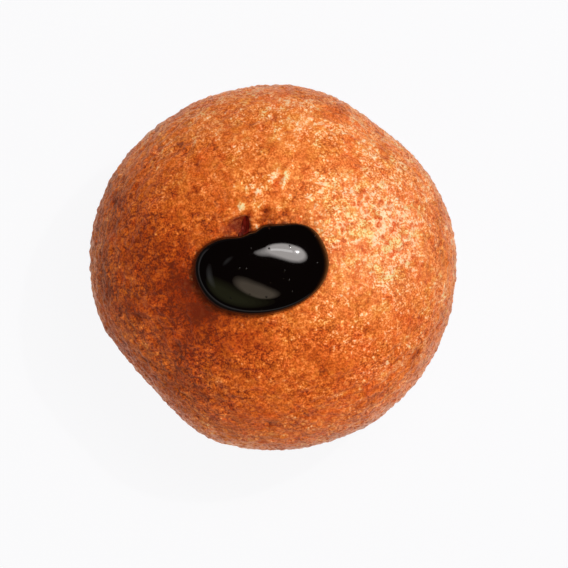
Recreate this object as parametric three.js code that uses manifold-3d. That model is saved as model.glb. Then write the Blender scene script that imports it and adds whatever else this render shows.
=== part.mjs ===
// A bunuelo: a round bun of fried dough with one glossy drop of dark filling on its crown.
// Millimetres, +Z up. The origin is the middle of the part's footprint, on the surface that it rests on.
// Seen from above, +X is to the right and +Y is up, and the filling's hole lies on the +Y side of the drop.

import * as THREE from 'three';
import { mergeVertices } from 'three/addons/utils/BufferGeometryUtils.js';
import Module from 'manifold-3d';

const DEGREE = Math.PI / 180;

// The dough: a plump round bun, a little deeper above its widest belt than below it.
const DOUGH_RADIUS = 42.2;
const CROWN_RISE = 31;
const BELLY_DROP = 28.5;
const PLUMPNESS = 2.25; // 2 would be an ellipse from the side, more is squarer
const REST_RADIUS = 15; // of the flat spot that it rests on
const DOUGH_COLUMNS = 84;
const DOUGH_ROWS = 48;
const CROWN_ROWS = 30; // of those rows, above the belt, where the small forms are

// The bun's sides: flats that it was pressed to while it fried, and one place where it bulges.
const SIDE_FLATS = [
  { toward: 52 * DEGREE, distance: 40.8 },
  { toward: 222 * DEGREE, distance: 39.6 },
];
const FLAT_BLEND = 1.6; // how softly a flat runs into the round
const FLAT_REACH = 78 * DEGREE; // no flat is felt further round than this
const SIDE_BULGE = { toward: 160 * DEGREE, rise: 0.9, spread: 20 * DEGREE };

// Low swells that the dough rose with, spread evenly over the bun.
const SWELL_COUNT = 64;
const SWELL_RISE = [-0.35, 0.55];
const SWELL_SPREAD = [6 * DEGREE, 11 * DEGREE]; // as seen from the bun's middle
const SWELL_SEED = 27;

// The drop of filling: an oval with a notch, seen from above, that lies just clear of the crust.
const DROP = {
  centre: new THREE.Vector2(-2.9, -0.7),
  halfLength: 15.2,
  halfWidth: 9.95,
  turn: 7.5 * DEGREE,
  thickness: 5.2,
  gap: 0.3,
  columns: 72,
  rows: 16,
  bulges: [
    { toward: 41 * DEGREE, rise: 1.6, spread: 19 * DEGREE },
    { toward: 160 * DEGREE, rise: 0.5, spread: 30 * DEGREE },
    { toward: 194 * DEGREE, rise: -1.1, spread: 20 * DEGREE },
    { toward: 122 * DEGREE, rise: -1.8, spread: 20 * DEGREE },
  ],
};
const SHOULDER = 2.3; // 2 is a plain dome, more is a flatter top with a rounder shoulder
const BULGE_FADE = 4; // the higher, the nearer to the edge the outline's bulges stay

// The thin tongue of filling that runs from the drop's notch back into the hole.
const TONGUE = {
  centre: new THREE.Vector2(-6.3, 8.3),
  halfLength: 3.2,
  halfWidth: 1.0,
  turn: 75 * DEGREE,
  thickness: 0.9,
  gap: 0.45,
  columns: 24,
  rows: 10,
  bulges: [],
};

// The crown: a shallow dip under the drop, and the hole's caved-in lip beside it.
const DIP = { centre: DROP.centre, depth: 1.2, spread: 15 };
const HOLE = { centre: new THREE.Vector2(-5.9, 8.9), depth: 1.0, spread: 2.9 };
const SWELLS_START = 1.35; // the low swells begin at this share of the drop's reach
const SWELLS_FULL = 2; // and have their whole height from this share on

// 1 at the middle, falling smoothly to nothing a few spreads away.
const bell = (distance, spread) => Math.exp(-((distance / spread) ** 2));

// The angle between two directions in the plan, from 0 to half a turn.
const turnBetween = (a, b) => Math.abs(Math.atan2(Math.sin(a - b), Math.cos(a - b)));

// The lower of two lengths, rounded over where they cross.
const softLower = (a, b, blend) => (a + b - Math.hypot(a - b, blend)) / 2;

// What a bulge adds to an outline in one direction.
const bulgeToward = (bulge, direction) =>
  bulge.rise * bell(turnBetween(direction, bulge.toward), bulge.spread);

// How far a pool of filling reaches from its centre in one direction.
function poolReach(pool, direction) {
  const along = Math.cos(direction - pool.turn) / pool.halfLength;
  const across = Math.sin(direction - pool.turn) / pool.halfWidth;
  return 1 / Math.hypot(along, across);
}

// The distance from a pool's centre at a share of its reach: the bulges show at the edge and fade inwards.
function poolDistance(pool, direction, share) {
  const bulge = pool.bulges.reduce((sum, each) => sum + bulgeToward(each, direction), 0);
  return poolReach(pool, direction) * share + bulge * share ** BULGE_FADE;
}

// How far out the bun's side stands in one direction.
function sideReach(direction) {
  const round = DOUGH_RADIUS + bulgeToward(SIDE_BULGE, direction);
  const near = SIDE_FLATS.filter((flat) => turnBetween(direction, flat.toward) < FLAT_REACH);
  const flatReach = (flat) => flat.distance / Math.cos(direction - flat.toward);
  return near.reduce((reach, flat) => softLower(reach, flatReach(flat), FLAT_BLEND), round);
}

// The height share of a plump round form at a share of its reach.
const plumpRise = (share) => Math.max(0, 1 - share ** PLUMPNESS) ** (1 / PLUMPNESS);

// How much a hollow of the crown takes off the crust's height over a point of the plan.
const hollowDepth = (hollow, x, y) =>
  hollow.depth * bell(Math.hypot(x - hollow.centre.x, y - hollow.centre.y), hollow.spread);

// The crust's height above the belt over a point of the plan, before its low swells.
function crownHeight(x, y) {
  const share = Math.hypot(x, y) / sideReach(Math.atan2(y, x));
  return CROWN_RISE * plumpRise(Math.min(share, 1)) - hollowDepth(DIP, x, y) - hollowDepth(HOLE, x, y);
}

// The low swells, each a direction from the bun's middle with its own height and width.
function makeSwells() {
  const goldenTurn = Math.PI * (3 - Math.sqrt(5));
  const within = ([low, high]) => THREE.MathUtils.lerp(low, high, THREE.MathUtils.seededRandom());
  THREE.MathUtils.seededRandom(SWELL_SEED);
  return Array.from({ length: SWELL_COUNT }, (_, i) => {
    const up = 1 - (2 * (i + 0.5)) / SWELL_COUNT;
    const middle = new THREE.Vector3().setFromCylindricalCoords(Math.sqrt(1 - up * up), i * goldenTurn, up);
    middle.set(middle.z, middle.x, middle.y);
    return { middle, rise: within(SWELL_RISE), spread: within(SWELL_SPREAD) };
  });
}

const SWELLS = makeSwells();

// How far the low swells lift the crust in one direction from the bun's middle.
const swellRise = (way) => SWELLS.reduce((sum, s) => sum + s.rise * bell(way.angleTo(s.middle), s.spread), 0);

// 0 under the drop and close round it, 1 well away from it.
function clearOfDrop(x, y) {
  const from = new THREE.Vector2(x, y).sub(DROP.centre);
  const share = from.length() / poolReach(DROP, Math.atan2(from.y, from.x));
  return THREE.MathUtils.smoothstep(share, SWELLS_START, SWELLS_FULL);
}

// The point of the crust at a turn round the bun and a share of the way from its crown to its base.
function crustPoint(turn, share) {
  const crownShare = CROWN_ROWS / DOUGH_ROWS;
  const above = share <= crownShare;
  const fromPole = above ? share / crownShare : (1 - share) / (1 - crownShare);
  const outShare = Math.sin((fromPole * Math.PI) / 2) ** (2 / PLUMPNESS);
  const x = sideReach(turn) * outShare * Math.cos(turn);
  const y = sideReach(turn) * outShare * Math.sin(turn);
  const z = above ? crownHeight(x, y) : -BELLY_DROP * plumpRise(outShare);
  const point = new THREE.Vector3(x, y, z);
  const way = point.clone().normalize();
  point.addScaledVector(way, swellRise(way) * (above ? clearOfDrop(x, y) : 1));
  const restLevel = -BELLY_DROP * plumpRise(REST_RADIUS / DOUGH_RADIUS);
  point.z = Math.max(point.z, restLevel);
  return point;
}

// The point of a pool of filling at a turn round it and a share of the way from its top to its underside.
function poolPoint(pool, turn, share) {
  const outShare = Math.sin(share * Math.PI);
  const distance = poolDistance(pool, turn, outShare);
  const x = pool.centre.x + distance * Math.cos(turn);
  const y = pool.centre.y + distance * Math.sin(turn);
  const dome = share < 0.5 ? Math.sqrt(Math.max(0, 1 - outShare ** SHOULDER)) : 0;
  return new THREE.Vector3(x, y, crownHeight(x, y) + pool.gap + pool.thickness * dome);
}

// A sphere whose points go where a function of the turn and the share from top to bottom puts them.
function mouldedSphere(columns, rows, pointAt) {
  const geometry = new THREE.SphereGeometry(1, columns, rows).rotateX(Math.PI / 2);
  const places = geometry.getAttribute('position');
  const place = new THREE.Vector3();
  for (let i = 0; i < places.count; i += 1) {
    place.fromBufferAttribute(places, i);
    const share = Math.acos(THREE.MathUtils.clamp(place.z, -1, 1)) / Math.PI;
    place.copy(pointAt(Math.atan2(place.y, place.x), share));
    places.setXYZ(i, place.x, place.y, place.z);
  }
  geometry.deleteAttribute('normal');
  geometry.deleteAttribute('uv');
  return mergeVertices(geometry);
}

const pooledFilling = (pool) =>
  mouldedSphere(pool.columns, pool.rows, (turn, share) => poolPoint(pool, turn, share));

// Joins closed geometries into one.
async function joined(...geometries) {
  const wasm = await Module();
  wasm.setup();
  const solids = geometries.map((geometry) => new wasm.Manifold(new wasm.Mesh({
    numProp: 3,
    vertProperties: geometry.getAttribute('position').array,
    triVerts: new Uint32Array(geometry.getIndex().array),
  })));
  const mesh = solids.reduce((whole, solid) => whole.add(solid)).getMesh();
  const geometry = new THREE.BufferGeometry();
  geometry.setAttribute('position', new THREE.BufferAttribute(mesh.vertProperties, mesh.numProp));
  geometry.setIndex(new THREE.BufferAttribute(mesh.triVerts, 1));
  return geometry;
}

// A named piece with smooth shading.
function piece(name, geometry, material) {
  geometry.computeVertexNormals();
  const mesh = new THREE.Mesh(geometry, material);
  mesh.name = name;
  return mesh;
}

const crust = new THREE.MeshStandardMaterial({ color: 0xc4672b, roughness: 0.5, metalness: 0 });
const filling = new THREE.MeshStandardMaterial({ color: 0x100806, roughness: 0.06, metalness: 0 });

const bunuelo = new THREE.Group();
bunuelo.add(piece('fried_dough', mouldedSphere(DOUGH_COLUMNS, DOUGH_ROWS, crustPoint), crust));
bunuelo.add(piece('filling_drop', await joined(pooledFilling(DROP), pooledFilling(TONGUE)), filling));

// The bun stands on its flat spot, with its footprint's middle at the origin.
const bounds = new THREE.Box3().setFromObject(bunuelo);
const middle = bounds.getCenter(new THREE.Vector3());
for (const mesh of bunuelo.children) mesh.position.set(-middle.x, -middle.y, -bounds.min.z);

export default bunuelo;
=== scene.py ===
"""A bunuelo, dressed for rendering: a round bun of fried dough with a drop of dark filling on its crown.

The file is laid out as an add-on. Run as a script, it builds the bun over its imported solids, and then the
stage with its lights and camera.
"""

import math

import bpy
from bpy.props import FloatProperty, FloatVectorProperty, PointerProperty
from bpy.types import Operator, Panel, PropertyGroup
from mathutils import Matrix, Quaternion, Vector


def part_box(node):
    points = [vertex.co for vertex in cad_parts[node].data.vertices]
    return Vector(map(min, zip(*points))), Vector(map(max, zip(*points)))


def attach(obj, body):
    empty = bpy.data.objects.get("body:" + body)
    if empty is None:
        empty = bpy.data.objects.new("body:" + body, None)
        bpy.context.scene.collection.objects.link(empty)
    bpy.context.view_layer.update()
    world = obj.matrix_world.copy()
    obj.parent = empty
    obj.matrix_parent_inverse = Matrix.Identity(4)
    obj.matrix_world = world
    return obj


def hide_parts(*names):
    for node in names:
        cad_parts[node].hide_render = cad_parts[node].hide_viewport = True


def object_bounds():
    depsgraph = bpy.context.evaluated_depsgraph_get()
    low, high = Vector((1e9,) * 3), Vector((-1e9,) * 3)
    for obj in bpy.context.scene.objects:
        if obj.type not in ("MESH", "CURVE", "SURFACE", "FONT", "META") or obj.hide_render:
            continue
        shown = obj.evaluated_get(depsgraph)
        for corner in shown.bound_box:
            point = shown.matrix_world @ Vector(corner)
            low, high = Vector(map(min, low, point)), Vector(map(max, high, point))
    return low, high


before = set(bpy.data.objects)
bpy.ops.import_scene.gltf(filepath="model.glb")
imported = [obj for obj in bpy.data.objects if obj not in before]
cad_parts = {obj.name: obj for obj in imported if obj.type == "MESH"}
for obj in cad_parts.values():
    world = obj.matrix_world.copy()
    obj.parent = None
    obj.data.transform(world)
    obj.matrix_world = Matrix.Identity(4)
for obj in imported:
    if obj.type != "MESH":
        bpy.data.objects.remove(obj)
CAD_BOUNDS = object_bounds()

bl_info = {
    "name": "Bunuelo",
    "version": (1, 0, 0),
    "blender": (4, 5, 0),
    "location": "3D View > Sidebar > Bunuelo",
    "description": "Builds a bun of fried dough with a glossy drop of filling, and a plain studio round it",
    "category": "Object",
}

MM = 0.001

# The dough's mesh: how finely it is divided, more so round the drop, and how it is evened out.
BUN_LEVELS = 4
BUN_CUTS = 6
FINE_CENTRE = Vector((-3 * MM, 4 * MM, 57 * MM))
FINE_REACH = 17 * MM
FINE_CUTS = 1
EVENING_PASSES = 6
EVENING_SHARE = 0.5

# The smoothed copy of a solid that pieces are shaped on.
FORM_LEVELS = 2
MERGE_DISTANCE = 0.01 * MM


def bulge(direction, rise, spread):
    """Where an outline swells or draws in: degrees from +X, millimetres, and degrees either side."""
    return {"toward": math.radians(direction), "rise": rise * MM, "spread": math.radians(spread)}


# The drop of filling: its mesh, and seen from above its oval and where that swells or draws in.
DROP_LEVELS = 6
DROP_CENTRE = (-2.74 * MM, -0.69 * MM)
DROP_TURN = math.radians(7.5)
DROP_LEAN = 0.08  # how steeply its top falls off to the right
DROP_BULGES = [
    bulge(41, 1.6, 19),
    bulge(162, 0.4, 14),
    bulge(196, -0.9, 20),
    bulge(119, -1.85, 18),  # the notch
    bulge(97, -0.7, 8),  # the shelf beside it
]

# The thin tongue of filling between the drop's notch and the hole that it came from.
TONGUE_LEVELS = 5
TONGUE_CENTRE = (-6.15 * MM, 7.6 * MM)
TONGUE_TURN = math.radians(83)
TONGUE_BULGES = [
    bulge(213, 0.35, 30),
    bulge(313, 0.35, 30),
    bulge(138, -0.3, 35),
    bulge(28, -0.2, 35),
]

# Both are pools: domes with a shoulder, widest a little above the crust and tucked in below that.
SHOULDER = 2.3  # 2 is a plain dome, more is a flatter top with a rounder shoulder
BULGE_FADE = 7  # the higher, the nearer to the edge the outline's bulges stay
TUCK = 0.4  # the share of a ball's lower half that becomes the tucked-in edge
SINK = 0.5 * MM  # how far they reach into the crust, so that no gap shows
RIPPLE_WIDTH = 9 * MM
RAY_HEIGHT = 100 * MM  # crust is looked for downwards from here

# The drop's tiny bubbles, and its edge: the crust shows through, more so on its thin right side.
EDGE_SHARES = (0.97, 1.02)  # where the edge starts and ends, as shares of the drop's reach
THIN_SIDE = (4 * MM, 11 * MM)
THIN_EDGE_MORE = 0.07  # how much earlier the edge starts on the thin side
EDGE_SHOW = 0.2
THIN_SHOW_MORE = 0.8
GEL_BUBBLE_SLOPE = (0.1, 0.0)

# The tongue's streaks and its red gleam.
STREAK_WIDTH = 0.45 * MM
STREAK_STRETCH = 6  # how many times as long as they are wide
STREAK_HEIGHT = 0.1 * MM
STREAK_EDGES = (0.35, 0.65)
FILM_GLEAM = (1, 0.3, 0.2, 1)


def crown_form(centre, spread, turn=0, rise=0.0, pale=0.0, calm=0.0, rosy=0.0):
    """A soft form of the crust, in millimetres and degrees from +X. It may lift, pale, calm or redden it."""
    return {
        "centre": [length * MM for length in centre],
        "spread": [length * MM for length in spread],
        "turn": math.radians(turn),
        "rise": rise * MM,
        "pale": pale,
        "calm": calm,
        "rosy": rosy,
    }


# The crown's own small forms: the torn hole beside the drop, and creases and swells round that.
# Much of their paleness is painted light: painted highlights on the lip, the curl, the creases and
# the small swells, and painted shade in the slit, the gap beside the crease and the valley.
CROWN_FORMS = [
    crown_form((-6.1, 9), (3, 1.2), 83, -0.7, -0.25),  # the slit that the tongue lies in
    crown_form((-8.8, 11.1), (2.4, 0.6), 25, 0.6, 0.2),  # the lip above the hole
    crown_form((-8, 12.4), (2.6, 0.9), 25, 0.15, 0.2),  # the pale crust behind the lip
    crown_form((-4.5, 8.9), (0.9, 1.1), 0, 0.85, 0.16),  # a curl of torn crust
    crown_form((-4.8, 10.4), (0.7, 0.35), 10, 0.5, 0.4),  # its rim, with a painted highlight
    crown_form((-3.4, 8.7), (0.4, 0.6), 0, 0.3, 0.5),  # its tip, with a painted highlight
    crown_form((-1.2, 10.9), (2.6, 1.4), 0, -0.2, -0.2),  # bare crust between it and a burst bubble
    crown_form((-1.5, 12.2), (1.2, 0.8), 10, -0.8, -0.35),  # the burst bubble
    crown_form((2.8, 19.2), (2.9, 0.6), 73, 0.5, 0.4),  # a crease
    crown_form((1.4, 19.4), (1.2, 0.5), 45, -0.4, -0.25),  # the gap beside it
    crown_form((0.5, 20), (1.8, 0.8), 65, 0.4, 0.3),  # a shorter crease
    crown_form((-6.9, 13.4), (0.9, 0.7), 20, 0.4, 0.5),  # three small swells, with painted glints
    crown_form((3.9, 15.3), (1.2, 0.6), 80, 0.35, 0.4),
    crown_form((-3.2, 16.6), (0.9, 0.6), 50, 0.3, 0.35),
    crown_form((3.6, 13), (2.4, 1.4), 0, 0.2, 0.2),  # the pale crust over the drop's shelf
    crown_form((5.6, 16), (5, 2.2), 78, -0.5, -0.13),  # a valley
    crown_form((14.5, 9), (9, 6), 60, 0.7),  # the swell on its far side
]
CROWN_LEVELS = (38 * MM, 46 * MM)  # these forms fade in between these heights

# The crust that sank below the hole's lip, with its bent wall, which wobbles, and the filling's stain
# beside it: both darken the crust, with painted shade under the lip as well as the real stain.
SUNK = crown_form((-7.55, 11.05), (2.7, 4.5), 21, -1.1, -0.4)
SUNK_BEND = 0.11 / MM
SUNK_WALL = 0.25 * MM
SUNK_WOBBLE = (1.6 * MM, 0.5 * MM)
STAINED_AND_SHADED = crown_form((-8.8, 8.2), (2.3, 1.9))
STAIN_AND_SHADE_STRENGTH = 0.6
LEAST_STAIN_AND_SHADE = 0.4

# Where the bun fried longer or less long, with painted light among these: a painted sheen on the paler
# right side, painted rim light on the left rim, and painted shade beside the drop's lower left.
GILDED_AND_SHEEN = crown_form((22.5, 7), (13, 13), pale=0.3, calm=0.1)  # the paler, freckled side, with a painted sheen over it
BAKED_FORMS = [
    crown_form((-23, -1), (22, 27), pale=-0.31),  # the whole left side
    crown_form((-19, -19), (11, 10), pale=-0.15),  # its lower part
    crown_form((-33, 0), (7, 8), pale=-0.13),  # the far left
    crown_form((-25, 10), (7, 6), pale=0.08),  # a lighter place on the left
    crown_form((-34, 13.5), (1.8, 2.8), pale=-0.15),  # two small dark spots
    crown_form((-20.5, 28), (1.6, 2.2), pale=-0.12),
    crown_form((-3, -18.5), (15, 9), -15, pale=-0.07),  # below the drop
    crown_form((-8, -28.5), (9, 4), pale=-0.13),
    crown_form((9, -16), (6, 6), pale=-0.1),
    crown_form((38, 10), (5, 13), pale=-0.1),  # the right rim
    crown_form((-42.5, 0), (3, 14), pale=0.14),  # the left rim, with painted rim light
    crown_form((-12.5, 11.5), (4.5, 3.5), pale=-0.1),  # left of the hole
    crown_form((8, 20), (4, 5), pale=-0.06),  # right of the creases
    GILDED_AND_SHEEN,
    crown_form((23, -25), (15, 10), 40, pale=-0.03, rosy=0.4),  # the rosy lower right
    crown_form((-2, 25), (17, 12), pale=0.05, calm=0.2),  # the even top
    crown_form((-17, -8), (9, 6.5), -50, pale=-0.27, calm=0.5, rosy=0.5),  # soaked crust with painted shade, beside the drop's lower left
]


def pattern(size, offset, amount, edges=(0.0, 1.0), gilded_and_sheened=0.0, detail=2.0, roughness=0.5):
    """Random patches of a size in millimetres. The offset keeps them apart from other patterns.

    The amount says how strongly they act, and one more value how much more so on the paler side with
    the painted sheen. The edges are the noise's values where a patch begins and where it is full.
    """
    return {
        "noise": {"size": size * MM, "detail": detail, "roughness": roughness, "offset": offset},
        "edges": edges,
        "amount": amount,
        "gilded_and_sheened": gilded_and_sheened,
    }


# The crust's relief: how round its blisters and pits are, which pits there are, and where it is stronger.
BLISTER_SLOPE = (0.75, 0.1)
PIT_SLOPE = (0.36, 0.1)
PIT_CHANCE = (0.45, 0.55)
RELIEF_VIGOUR = pattern(9.0, 0.3, 0.6, edges=(0.3, 0.7))
LEAST_RELIEF = 0.6
LUMP_OFFSET = 0.1

# The crust's grain: tiny bubbles with a height and a lightness by chance, and a finer grain on them.
BUBBLE_WOBBLE = 0.5
BUBBLE_ROUNDING = 2.2
BUBBLE_LIGHTNESS = 0.15
DRAW_LIGHTNESS = 0.1
LEAST_BUBBLE = 0.6
DRAW_HEIGHT = 0.8
FINE_OFFSET = 0.4
FINE_EDGES = (0.25, 0.75)
FINE_LIGHTNESS = 0.46
BASE_LIGHTNESS = 0.13
MEDIUM_GRAIN = pattern(1.0, 0.8, 0.65, detail=3)
GRAIN_VIGOUR = pattern(6.0, 0.15, 0.5, edges=(0.35, 0.65))
LEAST_GRAIN = 0.75

# The crust's paleness: its middle value, and what makes it differ from that.
MIDDLE_PALENESS = 0.68
GRAIN_CONTRAST = 1.08
MOTTLE = pattern(4.2, 0.5, 0.58, detail=3, roughness=0.55)
BROAD_MOTTLE = pattern(12.0, 0.2, 0.48)
DARK_SPOTS = pattern(2.0, 0.6, 0.048, edges=(0.55, 0.66), gilded_and_sheened=0.12)
SHADE_SLOPE = (0.45, 0.9)  # along X and Y: it darkens against this way
SHADE_REACH = (12 * MM, -30 * MM)
SHADE_DEPTH = 0.1
PIT_SHADE = 0.2
DROP_RIM = (1.05, 1.0)  # the crust darkens between these shares of the drop's reach
DROP_RIM_SHADE = 0.25

# The crust's tints: blotches and freckles, a painted pale sheen over the freckled side, and painted
# glints on the sides, where the rim catches light.
RED_SPOTS = pattern(2.0, 0.6, 0.3, edges=(0.52, 0.64), gilded_and_sheened=0.4)
RED_BLOTCHES = pattern(2.6, 0.7, 0.4, edges=(0.52, 0.66))
BROAD_RED_BLOTCHES = pattern(7.0, 0.35, 0.35, edges=(0.45, 0.65))
YELLOW_BLOTCHES = pattern(3.2, 0.9, 0.5, edges=(0.5, 0.64), gilded_and_sheened=0.3)
FRECKLE_WOBBLE = (0.6, 0.3)  # as shares of their spacing
FRECKLE_SLOPE = (0.55, 0.38)
FRECKLE_CHANCE = (0.3, 0.6)
PAINTED_SHEEN_STRENGTH = 0.12
RIM_GLINT_SPECKS = pattern(0.65, 0.25, 0.55, edges=(0.52, 0.66))
RIM_GLINT_LEVELS = (44 * MM, 28 * MM)
RIM_GLINT_NEAR_SIDE = (-12 * MM, -34 * MM)  # towards -Y its specks grow and get stronger
RIM_GLINT_NEAR_GROWTH = 0.04
RIM_GLINT_NEAR_MORE = 0.4
STAIN_AND_SHADE_PATCHES = pattern(1.1, 0.45, 0.6, edges=(0.35, 0.6))

# How dull the crust is: oily on its light grain, duller in its dark gaps and where it sank.
OILY_ROUGHNESS = 0.27
GAP_TONES = (0.7, 0.25)
GAP_DULLNESS = 0.3
SUNK_DULLNESS = 0.3
SHEEN_TINT = (1, 0.62, 0.4, 1)  # of the crumbs on its rim

# The floor's size, and how much of it shows in reflections far off, towards -X and -Y.
FLOOR_SIZE = 6.0
FAR_FLOOR = (0.3, 0.45)
FAR_FLOOR_SIDE = (0.0, -0.15)
FAR_FLOOR_SHOWN = 0.4

# The sky's brightness to the camera and as a light, and what it loses of that in reflections.
SKY_SEEN = 0.85
SKY_LIGHT = 0.12
SKY_MIRRORED_LOSS = 0.1

# The camera, straight above the crown.
CAMERA_PLACE = (2.55 * MM, -3.8 * MM)
CAMERA_LENS = 162.4


def toward(turn, tilt, distance):
    """The way to a point at a turn from +X in the plan and a tilt off the vertical, both in degrees."""
    turn, tilt = math.radians(turn), math.radians(tilt)
    way = Vector((math.sin(tilt) * math.cos(turn), math.sin(tilt) * math.sin(turn), math.cos(tilt)))
    return distance * way


# The lights: the way to each from the crown, and its size in metres.
SOFTBOX = {
    "away": Vector((0.262, 0.258, 0.7)), "size": (0.54, 0.38), "softness": 0.25,
    "colour": (1, 0.93, 0.9), "level": True, "roll": -25,
}
TUBE = {"away": Vector((0.185, 0.262, 0.68)), "size": (0.18, 0.05), "level": True, "roll": -5}
KEY_LAMP = {"away": toward(37, 32, 0.77), "size": (0.02, 0.02), "shape": "DISK"}
WARM_CARD = {
    "away": Vector((0.06, -0.41, 0.7)), "size": (0.72, 0.32), "softness": 0.35,
    "colour": (1, 0.8, 0.6), "level": True, "roll": -58,
}
OLIVE_CARD = {
    "away": toward(-122, 53, 0.74), "size": (1.3, 0.8), "softness": 0.6, "colour": (0.95, 1, 0.45),
}
STRIP = {"away": toward(-169, 54, 0.7), "size": (0.6, 0.24), "softness": 0.7}
HAZE = {"away": toward(146, 27, 0.7), "size": (0.2, 0.1), "softness": 0.7}
CARDS = [  # name, share of brightness, card
    ("warm_card", 1.5, WARM_CARD),
    ("olive_card", 0.3, OLIVE_CARD),
    ("strip", 0.5, STRIP),
    ("haze", 0.35, HAZE),
]
FILLS = [(235, 72, 1.0), (-38, 62, 0.85), (95, 58, 0.6)]  # turn, tilt, share of brightness
FILL_DISTANCE = 0.8
FILL_SIZE = (0.6, 0.6)

# A soft light's border: how many lights make it up, and the step between them as a share of the distance.
SOFT_LAYERS = 5
LAYER_GAP = 0.004


class Wire:
    """An output socket, so that node maths reads as a Python expression: 1 - mask adds its Math node."""

    def __init__(self, tree, socket=None):
        self.tree = tree
        self.socket = socket

    def node(self, kind, settings=None, inputs=None, output=0):
        """Adds a node of any type: its settings are set first, then its sockets' values or links."""
        node = self.tree.nodes.new(kind)
        for name, value in (settings or {}).items():
            if name == "stops":
                spread_stops(node.color_ramp.elements, value)
            else:
                setattr(node, name, value)
        connect(self.tree, node, inputs or {})
        return Wire(self.tree, node.outputs[output]) if node.outputs else None

    def math(self, operation, *operands):
        inputs = dict(enumerate(operands))
        return self.node("ShaderNodeMath", {"operation": operation}, inputs)

    def __add__(self, other):
        return self.math("ADD", self, other)

    def __radd__(self, other):
        return self.math("ADD", other, self)

    def __sub__(self, other):
        return self.math("SUBTRACT", self, other)

    def __rsub__(self, other):
        return self.math("SUBTRACT", other, self)

    def __mul__(self, other):
        return self.math("MULTIPLY", self, other)

    def __truediv__(self, other):
        return self.math("DIVIDE", self, other)

    def __rtruediv__(self, other):
        return self.math("DIVIDE", other, self)

    def __pow__(self, other):
        return self.math("POWER", self, other)

    def __neg__(self):
        return self.math("MULTIPLY", self, -1)


def connect(tree, node, inputs):
    """Gives a node's sockets their values, or links wires to them."""
    for name, value in inputs.items():
        if isinstance(value, Wire):
            tree.links.new(value.socket, node.inputs[name])
        else:
            node.inputs[name].default_value = value


def spread_stops(stops, colours):
    """Spreads a ramp's colours evenly from 0 to 1."""
    for index in range(1, len(colours) - 1):
        stops.new(index / (len(colours) - 1))
    for stop, colour in zip(stops, colours):
        stop.color = rgba(colour)


def rgba(colour):
    """A colour property as the four numbers that a socket takes."""
    return (*colour, 1)


def object_place(tree):
    """Where a point of a surface lies, in its object's own coordinates."""
    return Wire(tree).node("ShaderNodeTexCoord", {}, {}, "Object")


def blend(factor, first, second, how="MIX"):
    """Two colours mixed by a factor from 0 to 1."""
    settings = {"data_type": "RGBA", "blend_type": how, "clamp_factor": True}
    return factor.node("ShaderNodeMix", settings, {0: factor, 6: first, 7: second}, output=2)


def bumped(height, distance=1.0):
    """A surface's normal, turned as if it stood out by a height times a distance."""
    return height.node("ShaderNodeBump", {}, {"Strength": 1.0, "Distance": distance, "Height": height})


def smooth_step(value, low, high):
    """0 below the low value and 1 above the high one, or the other way round, with soft ends."""
    inputs = {"Value": value, "From Min": low, "From Max": high}
    return value.node("ShaderNodeMapRange", {"interpolation_type": "SMOOTHSTEP"}, inputs)


def noise(place, size, detail=2.0, roughness=0.5, offset=0.0, output=0):
    """Soft random patches of a size in metres, with values round one half. An offset gives other ones."""
    moved = place.node("ShaderNodeVectorMath", {"operation": "ADD"}, {0: place, 1: (offset,) * 3})
    inputs = {"Vector": moved, "Scale": 1 / size, "Detail": detail, "Roughness": roughness}
    return place.node("ShaderNodeTexNoise", {}, inputs, output)


def shaken(place, size, reach):
    """A place moved at random by some of a reach, so that what is made from it has uneven borders."""
    moves = {0: noise(place, size, output="Color"), 1: (reach,) * 3, 2: place}
    return place.node("ShaderNodeVectorMath", {"operation": "MULTIPLY_ADD"}, moves)


def cells(place, size, output="Distance"):
    """Random cells of a size in metres: how far the nearest one's middle is, or its random colour."""
    inputs = {"Vector": place, "Scale": 1 / size, "Randomness": 1.0}
    return place.node("ShaderNodeTexVoronoi", {}, inputs, output)


def parts_of(place):
    """The three numbers of a place."""
    return [place.node("ShaderNodeSeparateXYZ", {}, {0: place}, axis) for axis in range(3)]


def bell(distance, spread):
    """1 at no distance, falling softly to nothing a few spreads away."""
    return distance.math("EXPONENT", -(distance / spread) ** 2)


def turn_from(turn, direction):
    """The angle between a turn in the plan and a direction, wrapped to half a turn either way."""
    return turn.math("WRAP", turn - direction, math.pi, -math.pi)


def oval_reach(turn, half_length, half_width, tilt):
    """How far an oval reaches from its centre at a turn in the plan."""
    along = turn.math("COSINE", turn - tilt) / half_length
    across = turn.math("SINE", turn - tilt) / half_width
    return 1 / turn.math("SQRT", along * along + across * across)


def total(wires):
    """The sum of a list of wires."""
    return sum(wires[1:], wires[0])


def bulge_rise(turn, bulges):
    """What an outline's bulges add at a turn in the plan."""
    return total([bell(turn_from(turn, each["toward"]), each["spread"]) * each["rise"] for each in bulges])


def drop_share(place, drop):
    """How far out a place lies, seen from above, as a share of the drop's reach: 1 on its outline."""
    x, y, _ = parts_of(place)
    from_x = x - DROP_CENTRE[0]
    from_y = y - DROP_CENTRE[1]
    turn = x.math("ARCTAN2", from_y, from_x)
    reach = oval_reach(turn, drop.half_length, drop.half_width, DROP_TURN) + bulge_rise(turn, DROP_BULGES)
    return x.math("SQRT", from_x * from_x + from_y * from_y) / reach


def form_ways(place, form):
    """How far a place lies from a form of the crust, along it and across it."""
    x, y, _ = parts_of(place)
    from_x = x - form["centre"][0]
    from_y = y - form["centre"][1]
    cosine, sine = math.cos(form["turn"]), math.sin(form["turn"])
    return from_x * cosine + from_y * sine, from_y * cosine - from_x * sine


def form_share(place, form):
    """1 in the middle of a form of the crust, falling softly to nothing round it."""
    along, across = form_ways(place, form)
    return bell(along, form["spread"][0]) * bell(across, form["spread"][1])


def forms_total(place, forms, value):
    """What forms of the crust add up to at a place, for one of their values."""
    return total([form_share(place, form) * form[value] for form in forms if form[value]])


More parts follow.
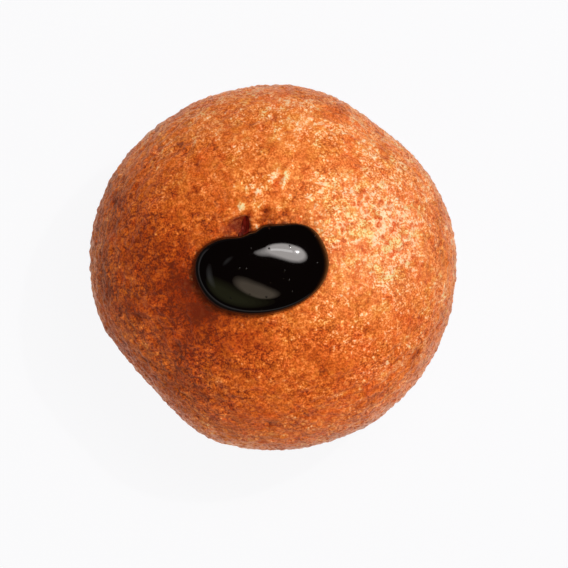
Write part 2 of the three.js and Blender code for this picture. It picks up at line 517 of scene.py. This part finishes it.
def patches(place, chosen):
    """A pattern's patches: 0 between them, and its amount in their middle."""
    strength = chosen["amount"]
    if chosen["gilded_and_sheened"]:
        strength = form_share(place, GILDED_AND_SHEEN) * chosen["gilded_and_sheened"] + strength
    return smooth_step(noise(place, **chosen["noise"]), *chosen["edges"]) * strength


def unevenness(place, chosen):
    """A pattern's random ups and downs round 0."""
    return (noise(place, **chosen["noise"]) - 0.5) * chosen["amount"]


def on_crown(place):
    """1 on the bun's upper side, 0 from its belt down."""
    return smooth_step(parts_of(place)[2], *CROWN_LEVELS)


def sunk_share(place):
    """1 on the sunk crust just below the hole's lip, falling softly to nothing away from it."""
    uneven = shaken(place, *SUNK_WOBBLE)
    along, across = form_ways(uneven, SUNK)
    below = smooth_step(across + along * along * SUNK_BEND, SUNK_WALL, -SUNK_WALL)
    return form_share(uneven, SUNK) * below


def crown_total(place, value):
    """What the crown's own forms add up to at a place, for one of their values."""
    sunk = sunk_share(place) * SUNK[value]
    return (sunk + forms_total(place, CROWN_FORMS, value)) * on_crown(place)


def crust_blisters(place, dough):
    """Small rounded blisters over the whole crust, from 0 in the gaps to 1 on top."""
    return smooth_step(cells(place, dough.blister_width), *BLISTER_SLOPE)


def crust_pits(place, dough):
    """Burst bubbles here and there in the crust, 1 in a pit's middle."""
    dent = smooth_step(cells(place, dough.pit_spacing), *PIT_SLOPE)
    draw = parts_of(cells(place, dough.pit_spacing, "Color"))[0]
    return dent * smooth_step(draw, *PIT_CHANCE)


def crust_lift(place, dough):
    """How far the crust's relief stands out from the dough's plain form, in metres."""
    vigour = patches(place, RELIEF_VIGOUR) + LEAST_RELIEF
    blisters = (crust_blisters(place, dough) - 0.5) * dough.blister_height * vigour
    rough = (noise(place, dough.rough_width) - 0.5) * dough.rough_height
    lumps = (noise(place, dough.lump_width, offset=LUMP_OFFSET) - 0.5) * dough.lump_height
    pits = crust_pits(place, dough) * dough.pit_depth
    return blisters + rough + lumps + crown_total(place, "rise") - pits


class DoughLook(PropertyGroup):
    """Sizes and colours of the fried dough"""

    blister_width: FloatProperty(
        name="Blister width", description="Usual width of the crust's small blisters",
        default=1.7 * MM, unit="LENGTH", precision=5)
    blister_height: FloatProperty(
        name="Blister height", description="How far a blister stands out of the gaps round it",
        default=0.36 * MM, unit="LENGTH", precision=5)
    rough_width: FloatProperty(
        name="Roughness width", description="Width of the uneven roughness between blisters",
        default=1.9 * MM, unit="LENGTH", precision=5)
    rough_height: FloatProperty(
        name="Roughness height", description="Height of the uneven roughness",
        default=0.6 * MM, unit="LENGTH", precision=5)
    lump_width: FloatProperty(
        name="Lump width", description="Width of the crust's low lumps",
        default=7 * MM, unit="LENGTH", precision=5)
    lump_height: FloatProperty(
        name="Lump height", description="Height of the crust's low lumps",
        default=0.9 * MM, unit="LENGTH", precision=5)
    pit_spacing: FloatProperty(
        name="Pit spacing", description="Usual distance between burst bubbles",
        default=4.2 * MM, unit="LENGTH", precision=5)
    pit_depth: FloatProperty(
        name="Pit depth", description="Depth of a burst bubble",
        default=0.3 * MM, unit="LENGTH", precision=5)
    freckle_spacing: FloatProperty(
        name="Freckle spacing", description="Usual distance between freckles on the gilded side",
        default=1.45 * MM, unit="LENGTH", precision=5)
    bubble_width: FloatProperty(
        name="Bubble width", description="Usual width of the crust's tiny bubbles",
        default=1.0 * MM, unit="LENGTH", precision=5)
    bubble_height: FloatProperty(
        name="Bubble height", description="Height of the crust's tiny bubbles",
        default=0.08 * MM, unit="LENGTH", precision=5)
    fine_width: FloatProperty(
        name="Fine width", description="Width of the fine grain on the bubbles",
        default=0.42 * MM, unit="LENGTH", precision=5)
    fine_height: FloatProperty(
        name="Fine height", description="Height of the fine grain on the bubbles",
        default=0.05 * MM, unit="LENGTH", precision=5)
    # Also painted glints: the palest bubble tops, most of them on the side with the painted sheen.
    cream: FloatVectorProperty(
        name="Cream", description="The palest crust, on the tops of bubbles",
        default=(0.77, 0.61, 0.39), subtype="COLOR", min=0, max=1)
    golden: FloatVectorProperty(
        name="Golden", description="The crust where it is light",
        default=(0.77, 0.27, 0.062), subtype="COLOR", min=0, max=1)
    orange: FloatVectorProperty(
        name="Orange", description="The crust's main colour",
        default=(0.62, 0.135, 0.018), subtype="COLOR", min=0, max=1)
    toasted: FloatVectorProperty(
        name="Toasted", description="The crust where it fried longer",
        default=(0.42, 0.072, 0.005), subtype="COLOR", min=0, max=1)
    browned: FloatVectorProperty(
        name="Browned", description="The crust on the side that fried longest",
        default=(0.26, 0.029, 0.001), subtype="COLOR", min=0, max=1)
    soaked: FloatVectorProperty(
        name="Soaked", description="The darkest crust, stained by the filling",
        default=(0.11, 0.007, 0.0003), subtype="COLOR", min=0, max=1)
    gleam: FloatVectorProperty(
        name="Gleam", description="The oily crust's warm gleam",
        default=(1.0, 0.66, 0.26), subtype="COLOR", min=0, max=1)
    rosy: FloatVectorProperty(
        name="Rosy", description="The tint of the crust's redder blotches",
        default=(1.0, 0.68, 0.6), subtype="COLOR", min=0, max=1)
    # A painted sheen: pale colour laid over the freckled side.
    painted_sheen: FloatVectorProperty(
        name="Veil", description="A pale veil over the gilded side",
        default=(0.5, 0.42, 0.32), subtype="COLOR", min=0, max=1)
    freckle: FloatVectorProperty(
        name="Freckle", description="The tint of the freckles on the gilded side",
        default=(0.8, 0.36, 0.2), subtype="COLOR", min=0, max=1)
    # Painted glints: the colour of the pale specks that stand in for light on the rim.
    painted_rim_glint: FloatVectorProperty(
        name="Frost", description="Colour of the pale specks on the sides",
        default=(0.87, 0.49, 0.38), subtype="COLOR", min=0, max=1)
    olive: FloatVectorProperty(
        name="Olive", description="The tint of the crust's yellower blotches",
        default=(0.88, 1.0, 0.64), subtype="COLOR", min=0, max=1)


class FillingLook(PropertyGroup):
    """Sizes and colours of the drop of filling"""

    half_length: FloatProperty(
        name="Half length", description="Half the drop's length, seen from above",
        default=15.2 * MM, unit="LENGTH", precision=5)
    half_width: FloatProperty(
        name="Half width", description="Half the drop's width, seen from above",
        default=9.95 * MM, unit="LENGTH", precision=5)
    thickness: FloatProperty(
        name="Thickness", description="How high the drop stands over the crust",
        default=5.4 * MM, unit="LENGTH", precision=5)
    edge_height: FloatProperty(
        name="Edge height", description="How high over the crust the drop's edge is widest",
        default=0.8 * MM, unit="LENGTH", precision=5)
    ripple: FloatProperty(
        name="Ripple", description="Height of the drop's slow unevenness",
        default=0.1 * MM, unit="LENGTH", precision=5)
    bubble_spacing: FloatProperty(
        name="Bubble spacing", description="Usual distance between the drop's tiny bubbles",
        default=2.6 * MM, unit="LENGTH", precision=5)
    bubble_height: FloatProperty(
        name="Bubble height", description="How far a tiny bubble lifts the drop's surface",
        default=0.12 * MM, unit="LENGTH", precision=5)
    tongue_half_length: FloatProperty(
        name="Tongue half length", description="Half the length of the thin tongue",
        default=3.7 * MM, unit="LENGTH", precision=5)
    tongue_half_width: FloatProperty(
        name="Tongue half width", description="Half the width of the thin tongue",
        default=1.1 * MM, unit="LENGTH", precision=5)
    tongue_thickness: FloatProperty(
        name="Tongue thickness", description="How high the tongue stands over the crust",
        default=0.45 * MM, unit="LENGTH", precision=5)
    tongue_edge_height: FloatProperty(
        name="Tongue edge height", description="How high over the crust the tongue's edge is widest",
        default=0.15 * MM, unit="LENGTH", precision=5)
    body: FloatVectorProperty(
        name="Body", description="The filling where it is thick",
        default=(0.0012, 0.0004, 0.0003), subtype="COLOR", min=0, max=1)
    edge: FloatVectorProperty(
        name="Edge", description="The drop's edge, where the crust shows through",
        default=(0.13, 0.042, 0.009), subtype="COLOR", min=0, max=1)
    thin: FloatVectorProperty(
        name="Thin", description="The dark streaks of the thin tongue",
        default=(0.035, 0.002, 0.001), subtype="COLOR", min=0, max=1)
    film: FloatVectorProperty(
        name="Film", description="The palest streaks of the thin tongue",
        default=(0.15, 0.006, 0.003), subtype="COLOR", min=0, max=1)


class StudioLook(PropertyGroup):
    """Light, floor and camera"""

    softbox: FloatProperty(name="Softbox", description="Brightness of the large soft light", default=9.2)
    tube: FloatProperty(name="Tube", description="Brightness of the tube that shows in it", default=5)
    key: FloatProperty(name="Key lamp", description="Brightness of the small lamp beside it", default=2750)
    card: FloatProperty(name="Card", description="Brightness of the dim cards", default=1.0)
    fill: FloatProperty(name="Fill", description="Brightness of the light on the dark side", default=1.8)
    floor: FloatVectorProperty(
        name="Floor", description="The plain pale floor", default=(0.03, 0.03, 0.031),
        subtype="COLOR", min=0, max=1)
    floor_glow: FloatVectorProperty(
        name="Floor glow", description="Light of the floor's own", default=(0.91, 0.91, 0.92),
        subtype="COLOR", min=0, max=1)
    mirrored_floor: FloatVectorProperty(
        name="Mirrored floor", description="Where the floor starts and ends to darken in reflections",
        default=(45 * MM, 85 * MM), size=2, unit="LENGTH")
    camera_height: FloatProperty(
        name="Camera height", description="From the floor to the lens", default=0.62, unit="LENGTH")


def select_only(piece):
    """Selects one object alone and makes it the active one."""
    bpy.ops.object.select_all(action="DESELECT")
    piece.select_set(True)
    bpy.context.view_layer.objects.active = piece


def apply_modifier(piece, kind, **settings):
    """Adds a modifier with its settings and applies it to the mesh."""
    select_only(piece)
    modifier = piece.modifiers.new(kind.lower(), kind)
    for name, value in settings.items():
        setattr(modifier, name, value)
    bpy.ops.object.modifier_apply(modifier=modifier.name)


def geometry_tree(name):
    """An empty tree that takes a mesh and gives one back."""
    tree = bpy.data.node_groups.new(name, "GeometryNodeTree")
    for way in ("INPUT", "OUTPUT"):
        tree.interface.new_socket("Geometry", in_out=way, socket_type="NodeSocketGeometry")
    return tree


def smoothed_solid(node_name):
    """A merged and smoothed copy of a solid, to shape a piece on. It is removed once the piece is done."""
    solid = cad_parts[node_name]
    form = solid.copy()
    form.data = solid.data.copy()
    form.parent = None
    form.hide_viewport = False
    bpy.context.scene.collection.objects.link(form)
    select_only(form)
    bpy.ops.object.mode_set(mode="EDIT")
    bpy.ops.mesh.select_all(action="SELECT")
    bpy.ops.mesh.remove_doubles(threshold=MERGE_DISTANCE)
    bpy.ops.object.mode_set(mode="OBJECT")
    apply_modifier(form, "SUBSURF", levels=FORM_LEVELS, render_levels=FORM_LEVELS)
    return form


def divide_faces(piece, cuts, wanted):
    """Divides the faces of a mesh that are wanted into smaller ones."""
    select_only(piece)
    bpy.ops.object.mode_set(mode="EDIT")
    bpy.ops.mesh.select_mode(type="FACE")
    bpy.ops.mesh.select_all(action="DESELECT")
    bpy.ops.object.mode_set(mode="OBJECT")
    for face in piece.data.polygons:
        face.select = wanted(face)
    bpy.ops.object.mode_set(mode="EDIT")
    bpy.ops.mesh.subdivide(number_cuts=cuts)
    bpy.ops.object.mode_set(mode="OBJECT")


def quad_ball(name, levels, cuts=0, centre=(0, 0, 0), half_size=(1, 1, 1)):
    """An even ball of four-sided faces, the start of a rounded piece."""
    bpy.ops.object.select_all(action="DESELECT")
    bpy.ops.mesh.primitive_cube_add(size=2)
    ball = bpy.context.view_layer.objects.active
    ball.name = name
    ball.data.name = name
    apply_modifier(ball, "SUBSURF", levels=levels, render_levels=levels)
    if cuts:
        divide_faces(ball, cuts, lambda face: True)
    apply_modifier(ball, "CAST", cast_type="SPHERE", factor=1, use_radius_as_size=False, size=1)
    ball.location = centre
    ball.scale = half_size
    bpy.ops.object.transform_apply(location=True, rotation=True, scale=True)
    return ball


def finish_piece(piece, material, node_name):
    """Gives a modelled piece its finish and its place in the frame."""
    piece.data.materials.clear()
    piece.data.materials.append(material)
    select_only(piece)
    bpy.ops.object.shade_smooth()
    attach(piece, "root")
    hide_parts(node_name)


def relief_tree(dough):
    """Lifts a smooth bun's points by the crust's relief, and keeps them on or above the floor."""
    tree = geometry_tree("crust_relief")
    start = Wire(tree)
    mesh = start.node("NodeGroupInput")
    place = start.node("GeometryNodeInputPosition")
    normal = start.node("GeometryNodeInputNormal")
    lift = {"Vector": normal, "Scale": crust_lift(place, dough)}
    offset = start.node("ShaderNodeVectorMath", {"operation": "SCALE"}, lift)
    lifted = start.node("GeometryNodeSetPosition", {}, {"Geometry": mesh, "Offset": offset})
    x, y, z = parts_of(place)
    above = start.node("ShaderNodeCombineXYZ", {}, {0: x, 1: y, 2: z.math("MAXIMUM", z, 0.0)})
    stood = start.node("GeometryNodeSetPosition", {}, {"Geometry": lifted, "Position": above})
    start.node("NodeGroupOutput", {}, {"Geometry": stood})
    return tree


def drop_pool(filling):
    """The drop's sizes, as a pool."""
    return {
        "centre": DROP_CENTRE, "half_length": filling.half_length, "half_width": filling.half_width,
        "tilt": DROP_TURN, "thickness": filling.thickness, "edge_height": filling.edge_height,
        "ripple": filling.ripple, "lean": DROP_LEAN, "bulges": DROP_BULGES,
    }


def tongue_pool(filling):
    """The tongue's sizes, as a pool."""
    return {
        "centre": TONGUE_CENTRE, "half_length": filling.tongue_half_length,
        "half_width": filling.tongue_half_width, "tilt": TONGUE_TURN, "thickness": filling.tongue_thickness,
        "edge_height": filling.tongue_edge_height, "ripple": 0, "lean": 0, "bulges": TONGUE_BULGES,
    }


def pool_tree(form, pool):
    """Spreads a unit ball out into a pool of filling that lies on a form."""
    tree = geometry_tree("pool_shape")
    start = Wire(tree)
    mesh = start.node("NodeGroupInput")
    ball_x, ball_y, ball_z = parts_of(start.node("GeometryNodeInputPosition"))
    out = start.math("MINIMUM", start.math("SQRT", ball_x * ball_x + ball_y * ball_y), 1.0)
    turn = start.math("ARCTAN2", ball_y, ball_x)
    reach = oval_reach(turn, pool["half_length"], pool["half_width"], pool["tilt"])
    distance = reach * out + bulge_rise(turn, pool["bulges"]) * out ** BULGE_FADE
    from_x = start.math("COSINE", turn) * distance
    from_y = start.math("SINE", turn) * distance
    x = from_x + pool["centre"][0]
    y = from_y + pool["centre"][1]
    crust = start.node("GeometryNodeObjectInfo", {}, {"Object": form}, "Geometry")
    above = start.node("ShaderNodeCombineXYZ", {}, {0: x, 1: y, 2: RAY_HEIGHT})
    ray = {"Target Geometry": crust, "Source Position": above, "Ray Direction": (0, 0, -1)}
    hit = start.node("GeometryNodeRaycast", {}, ray, "Hit Position")
    dome = start.math("SQRT", 1 - out ** SHOULDER)
    waves = (noise(above, RIPPLE_WIDTH, detail=1) - 0.5) * pool["ripple"]
    top = dome * (pool["thickness"] - pool["edge_height"] + waves - from_x * pool["lean"])
    tucked = start.math("MINIMUM", -ball_z / TUCK, 1.0) * (pool["edge_height"] + SINK)
    on_top = start.math("GREATER_THAN", ball_z, 0.0)
    z = parts_of(hit)[2] + pool["edge_height"] + on_top * top - (1 - on_top) * tucked
    spread = start.node("ShaderNodeCombineXYZ", {}, {0: x, 1: y, 2: z})
    placed = start.node("GeometryNodeSetPosition", {}, {"Geometry": mesh, "Position": spread})
    start.node("NodeGroupOutput", {}, {"Geometry": placed})
    return tree


def new_material(name):
    """A material with its tree, and its shader."""
    material = bpy.data.materials.new(name)
    material.use_nodes = True
    return material, material.node_tree, material.node_tree.nodes["Principled BSDF"]


def crust_bubbles(place, dough):
    """The crust's tiny bubbles: their round form, from 0 in the gaps to 1 on top, and a draw for each."""
    uneven = shaken(place, dough.bubble_width, dough.bubble_width * BUBBLE_WOBBLE)
    far = cells(uneven, dough.bubble_width)
    draw = parts_of(cells(uneven, dough.bubble_width, "Color"))[0]
    return place.math("MAXIMUM", 1 - far * far * BUBBLE_ROUNDING, 0.0), draw


def crust_grain(place, dough):
    """The crust's grain: how light it is, round one half, and how high it stands in metres."""
    bubbles, draw = crust_bubbles(place, dough)
    fine = noise(place, dough.fine_width, offset=FINE_OFFSET)
    lightness = bubbles * BUBBLE_LIGHTNESS + draw * DRAW_LIGHTNESS
    lightness = lightness + smooth_step(fine, *FINE_EDGES) * FINE_LIGHTNESS
    lightness = lightness + unevenness(place, MEDIUM_GRAIN) + BASE_LIGHTNESS
    tone = (lightness - 0.5) * (patches(place, GRAIN_VIGOUR) + LEAST_GRAIN) + 0.5
    height = bubbles * (draw * DRAW_HEIGHT + LEAST_BUBBLE) * dough.bubble_height
    return tone, height + fine * dough.fine_height


def crust_paleness(place, dough, filling, tone):
    """How pale the crust is: from 0 where it is scorched, soaked or in painted shade, to 1 on its palest
    tops.
    """
    x, y, _ = parts_of(place)
    contrast = GRAIN_CONTRAST - forms_total(place, BAKED_FORMS, "calm")
    paleness = MIDDLE_PALENESS + (tone - 0.5) * contrast
    paleness = paleness + unevenness(place, MOTTLE) + unevenness(place, BROAD_MOTTLE)
    # The forms' paleness holds painted highlights and painted shade as well as the crust's own tone.
    paleness = paleness + forms_total(place, BAKED_FORMS, "pale") + crown_total(place, "pale")
    shade = smooth_step(x * SHADE_SLOPE[0] + y * SHADE_SLOPE[1], *SHADE_REACH) * SHADE_DEPTH
    pits = crust_pits(place, dough) * PIT_SHADE
    rim = smooth_step(drop_share(place, filling), *DROP_RIM) * on_crown(place) * DROP_RIM_SHADE
    return paleness - patches(place, DARK_SPOTS) - shade - pits - rim


def crust_freckles(place, dough):
    """Small red freckles on the crust's paler side, which has a painted sheen, 1 in a freckle's middle."""
    uneven = shaken(place, *[share * dough.freckle_spacing for share in FRECKLE_WOBBLE])
    dots = smooth_step(cells(uneven, dough.freckle_spacing), *FRECKLE_SLOPE)
    draw = parts_of(cells(uneven, dough.freckle_spacing, "Color"))[1]
    return dots * smooth_step(draw, *FRECKLE_CHANCE) * form_share(place, GILDED_AND_SHEEN)


def crust_rosiness(place):
    """How rosy the crust is, in spots, blotches and broad places."""
    spots = patches(place, RED_SPOTS)
    blotches = patches(place, RED_BLOTCHES) + patches(place, BROAD_RED_BLOTCHES)
    return spots + blotches + forms_total(place, BAKED_FORMS, "rosy")


def crust_rim_glints(place):
    """Painted glints on the bun's rim: pale specks on its sides, more of them towards -Y."""
    _, y, z = parts_of(place)
    near = smooth_step(y, *RIM_GLINT_NEAR_SIDE)
    grown = noise(place, **RIM_GLINT_SPECKS["noise"]) + near * RIM_GLINT_NEAR_GROWTH
    specks = smooth_step(grown, *RIM_GLINT_SPECKS["edges"]) * smooth_step(z, *RIM_GLINT_LEVELS)
    return specks * (near * RIM_GLINT_NEAR_MORE + RIM_GLINT_SPECKS["amount"])


def crust_stain_and_shade(place):
    """How much the crust in the hole and beside it darkens: the filling's stain and painted shade under the
    lip.
    """
    uneven = patches(place, STAIN_AND_SHADE_PATCHES) + LEAST_STAIN_AND_SHADE
    darkened = (sunk_share(place) + form_share(place, STAINED_AND_SHADED)) * STAIN_AND_SHADE_STRENGTH
    return darkened * uneven * on_crown(place)


def crust_colour(place, dough, filling, tone):
    """The crust's colour by paleness, with tints, a painted sheen and glints, and stain with painted shade.
    """
    colours = [dough.soaked, dough.browned, dough.toasted, dough.orange, dough.golden, dough.cream]
    paleness = crust_paleness(place, dough, filling, tone)
    colour = place.node("ShaderNodeValToRGB", {"stops": colours}, {"Fac": paleness})
    # a painted pale sheen over the freckled side
    colour = blend(form_share(place, GILDED_AND_SHEEN) * PAINTED_SHEEN_STRENGTH, colour, rgba(dough.painted_sheen))
    colour = blend(crust_rosiness(place), colour, rgba(dough.rosy), "MULTIPLY")
    colour = blend(patches(place, YELLOW_BLOTCHES), colour, rgba(dough.olive), "MULTIPLY")
    colour = blend(crust_freckles(place, dough), colour, rgba(dough.freckle), "MULTIPLY")
    # painted glints on the rim
    colour = blend(crust_rim_glints(place), colour, rgba(dough.painted_rim_glint))
    # the filling's stain, with painted shade under the hole's lip
    return blend(crust_stain_and_shade(place), colour, rgba(filling.film))


def crust_roughness(place, tone):
    """How dull the crust is."""
    gaps = smooth_step(tone, *GAP_TONES) * GAP_DULLNESS
    return gaps + sunk_share(place) * on_crown(place) * SUNK_DULLNESS + OILY_ROUGHNESS


def crust_material(dough, filling):
    """Fried crust, all tiny bubbles and a little oily."""
    material, tree, shader = new_material("fried_crust")
    place = object_place(tree)
    tone, height = crust_grain(place, dough)
    connect(tree, shader, {
        "Base Color": crust_colour(place, dough, filling, tone),
        "Roughness": crust_roughness(place, tone),
        "Normal": bumped(height),
        "Specular Tint": rgba(dough.gleam),
        "IOR": 1.46,
        "Sheen Weight": 0.2,
        "Sheen Tint": SHEEN_TINT,
    })
    return material


def filling_material(filling):
    """Wet dark filling with a few tiny bubbles. The crust shows through its edge."""
    material, tree, shader = new_material("dark_filling")
    place = object_place(tree)
    thin = smooth_step(parts_of(place)[0], *THIN_SIDE)
    start = EDGE_SHARES[0] - thin * THIN_EDGE_MORE
    edge = smooth_step(drop_share(place, filling), start, EDGE_SHARES[1])
    shown = edge * edge * (thin * THIN_SHOW_MORE + EDGE_SHOW)
    bubbles = smooth_step(cells(place, filling.bubble_spacing), *GEL_BUBBLE_SLOPE)
    connect(tree, shader, {
        "Base Color": blend(shown, rgba(filling.body), rgba(filling.edge)),
        "Roughness": 0.05,
        "IOR": 1.46,
        "Normal": bumped(bubbles * filling.bubble_height),
    })
    return material


def tongue_material(filling):
    """The same filling as a thin red film, drawn out in streaks."""
    material, tree, shader = new_material("thin_filling")
    place = object_place(tree)
    drawn_out = {"Vector": place, "Rotation": (0, 0, TONGUE_TURN), "Scale": (STREAK_STRETCH, 1, 1)}
    along = place.node("ShaderNodeMapping", {"vector_type": "TEXTURE"}, drawn_out)
    streaks = noise(along, STREAK_WIDTH)
    connect(tree, shader, {
        "Base Color": blend(smooth_step(streaks, *STREAK_EDGES), rgba(filling.thin), rgba(filling.film)),
        "Roughness": 0.45,
        "Normal": bumped(streaks, STREAK_HEIGHT),
        "Specular Tint": FILM_GLEAM,
    })
    return material


def floor_material(studio):
    """The plain pale floor, which glows by itself. Away from the bun, reflections show it darker."""
    material, tree, shader = new_material("pale_floor")
    mirrored = Wire(tree).node("ShaderNodeLightPath", {}, {}, "Is Glossy Ray")
    place = object_place(tree)
    away = place.node("ShaderNodeVectorMath", {"operation": "LENGTH"}, {0: place}, "Value")
    x, y, _ = parts_of(place)
    shown = smooth_step(x + y, *FAR_FLOOR_SIDE) * smooth_step(away, *FAR_FLOOR) * FAR_FLOOR_SHOWN
    hidden = mirrored * smooth_step(away, *studio.mirrored_floor) * (1 - shown)
    connect(tree, shader, {
        "Base Color": rgba(studio.floor),
        "Roughness": 0.9,
        "Emission Color": blend(hidden, rgba(studio.floor_glow), (0, 0, 0, 1)),
        "Emission Strength": 1.0,
    })
    return material


def make_bun(dough, filling):
    """The bun of fried dough: a ball drawn onto its solid, with the crust's relief."""
    low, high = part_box("fried_dough")
    form = smoothed_solid("fried_dough")
    bun = quad_ball("fried_dough_crust", BUN_LEVELS, BUN_CUTS, (low + high) / 2, (high - low) / 2)
    apply_modifier(bun, "SHRINKWRAP", target=form, wrap_method="NEAREST_SURFACEPOINT")
    apply_modifier(bun, "SMOOTH", factor=EVENING_SHARE, iterations=EVENING_PASSES)
    divide_faces(bun, FINE_CUTS, lambda face: (face.center - FINE_CENTRE).length < FINE_REACH)
    apply_modifier(bun, "SHRINKWRAP", target=form, wrap_method="NEAREST_SURFACEPOINT")
    apply_modifier(bun, "NODES", node_group=relief_tree(dough))
    bpy.data.objects.remove(form)
    finish_piece(bun, crust_material(dough, filling), "fried_dough")


def make_pool(name, levels, form, pool, material):
    """A pool of filling that lies on a form."""
    piece = quad_ball(name, levels)
    apply_modifier(piece, "NODES", node_group=pool_tree(form, pool))
    finish_piece(piece, material, "filling_drop")


def make_drop(filling):
    """The drop of filling, on the dough's plain form."""
    form = smoothed_solid("fried_dough")
    make_pool("filling_drop_gel", DROP_LEVELS, form, drop_pool(filling), filling_material(filling))
    bpy.data.objects.remove(form)


def make_tongue(filling):
    """The thin tongue of filling, on the crust itself."""
    crust = bpy.data.objects["fried_dough_crust"]
    make_pool("filling_tongue", TONGUE_LEVELS, crust, tongue_pool(filling), tongue_material(filling))


def add_floor(studio):
    """The plain floor that the bun stands on."""
    bpy.ops.object.select_all(action="DESELECT")
    bpy.ops.mesh.primitive_plane_add(size=FLOOR_SIZE)
    floor = bpy.context.view_layer.objects.active
    floor.name = "floor"
    floor.data.materials.append(floor_material(studio))


def add_lamp(name, radiance, away, size, colour=(1, 1, 1), shape="RECTANGLE", level=False, roll=0):
    """A light at a place seen from the crown, level or aimed at the crown, and rolled by some degrees."""
    bpy.ops.object.light_add(type="AREA", location=Vector((0, 0, CAD_BOUNDS[1].z)) + away)
    lamp = bpy.context.view_layer.objects.active
    lamp.name = name
    aim = Quaternion() if level else away.to_track_quat("Z", "Y")
    lamp.rotation_euler = (aim @ Quaternion((0, 0, 1), math.radians(roll))).to_euler()
    lamp.visible_camera = False
    lamp.data.shape = shape
    lamp.data.size, lamp.data.size_y = size
    area = size[0] * size[1] * (1 if shape == "RECTANGLE" else math.pi / 4)
    lamp.data.energy = radiance * math.pi * area
    lamp.data.color = colour
    return lamp


def add_soft_lamp(name, radiance, away, size, softness, **finish):
    """An oval light with a soft border: ever smaller lights, each a little in front of the last."""
    for layer in range(SOFT_LAYERS):
        share = 1 - softness * layer / (SOFT_LAYERS - 1)
        near = away * (1 - LAYER_GAP * layer)
        sides = [side * share for side in size]
        add_lamp(name, radiance / SOFT_LAYERS, near, sides, shape="ELLIPSE", **finish)


def add_lights(studio):
    """The lights that the drop mirrors, and those that fill in the dark sides."""
    add_soft_lamp("softbox", studio.softbox, **SOFTBOX)
    add_lamp("softbox_tube", studio.tube, **TUBE)
    add_lamp("key_lamp", studio.key, **KEY_LAMP)
    for name, share, card in CARDS:
        add_soft_lamp(name, studio.card * share, **card)
    for turn, tilt, share in FILLS:
        fill = add_lamp("fill", studio.fill * share, toward(turn, tilt, FILL_DISTANCE), FILL_SIZE)
        fill.visible_glossy = False


def set_world():
    """Pale round the camera's view, dim where it lights the bun, and dark in what the filling mirrors."""
    world = bpy.data.worlds.new("studio")
    world.use_nodes = True
    tree = world.node_tree
    rays = tree.nodes.new("ShaderNodeLightPath")
    seen = Wire(tree, rays.outputs["Is Camera Ray"])
    mirrored = Wire(tree, rays.outputs["Is Glossy Ray"])
    strength = seen * SKY_SEEN + (1 - seen) * (SKY_LIGHT - mirrored * SKY_MIRRORED_LOSS)
    connect(tree, tree.nodes["Background"], {"Color": (1, 1, 1, 1), "Strength": strength})
    bpy.context.scene.world = world


def add_camera(studio):
    """The camera, looking straight down."""
    bpy.ops.object.camera_add(location=(*CAMERA_PLACE, studio.camera_height))
    camera = bpy.context.view_layer.objects.active
    camera.name = "camera"
    camera.data.lens = CAMERA_LENS
    bpy.context.scene.camera = camera
    bpy.context.scene.view_settings.view_transform = "Standard"


class BUNUELO_OT_dough(Operator):
    """Models the bun of fried dough with its crust"""

    bl_idname = "bunuelo.dough"
    bl_label = "Fried dough"

    def execute(self, context):
        make_bun(context.scene.bunuelo_dough, context.scene.bunuelo_filling)
        return {"FINISHED"}


class BUNUELO_OT_filling(Operator):
    """Models the drop of filling and its thin tongue"""

    bl_idname = "bunuelo.filling"
    bl_label = "Drop of filling"

    def execute(self, context):
        make_drop(context.scene.bunuelo_filling)
        make_tongue(context.scene.bunuelo_filling)
        return {"FINISHED"}


class BUNUELO_OT_stage(Operator):
    """Sets up the floor, the lights and the camera"""

    bl_idname = "bunuelo.stage"
    bl_label = "Stage"

    def execute(self, context):
        studio = context.scene.bunuelo_studio
        add_floor(studio)
        add_lights(studio)
        set_world()
        add_camera(studio)
        return {"FINISHED"}


class BUNUELO_PT_panel(Panel):
    """Lists the steps that build the bunuelo, and its sizes and colours"""

    bl_idname = "BUNUELO_PT_panel"
    bl_label = "Bunuelo"
    bl_space_type = "VIEW_3D"
    bl_region_type = "UI"
    bl_category = "Bunuelo"

    def draw(self, context):
        for operator in OPERATORS:
            self.layout.operator(operator.bl_idname)
        for name in LOOKS:
            look = getattr(context.scene, name)
            box = self.layout.box()
            for setting in look.__annotations__:
                box.prop(look, setting)


OPERATORS = (BUNUELO_OT_dough, BUNUELO_OT_filling, BUNUELO_OT_stage)
LOOKS = {"bunuelo_dough": DoughLook, "bunuelo_filling": FillingLook, "bunuelo_studio": StudioLook}


def register():
    for each in (*LOOKS.values(), *OPERATORS, BUNUELO_PT_panel):
        bpy.utils.register_class(each)
    for name, look in LOOKS.items():
        setattr(bpy.types.Scene, name, PointerProperty(type=look))


def unregister():
    for name in LOOKS:
        delattr(bpy.types.Scene, name)
    for each in reversed((*LOOKS.values(), *OPERATORS, BUNUELO_PT_panel)):
        bpy.utils.unregister_class(each)


def main():
    register()
    bpy.ops.bunuelo.dough()
    bpy.ops.bunuelo.filling()
    bpy.ops.bunuelo.stage()


if __name__ == "__main__":
    main()
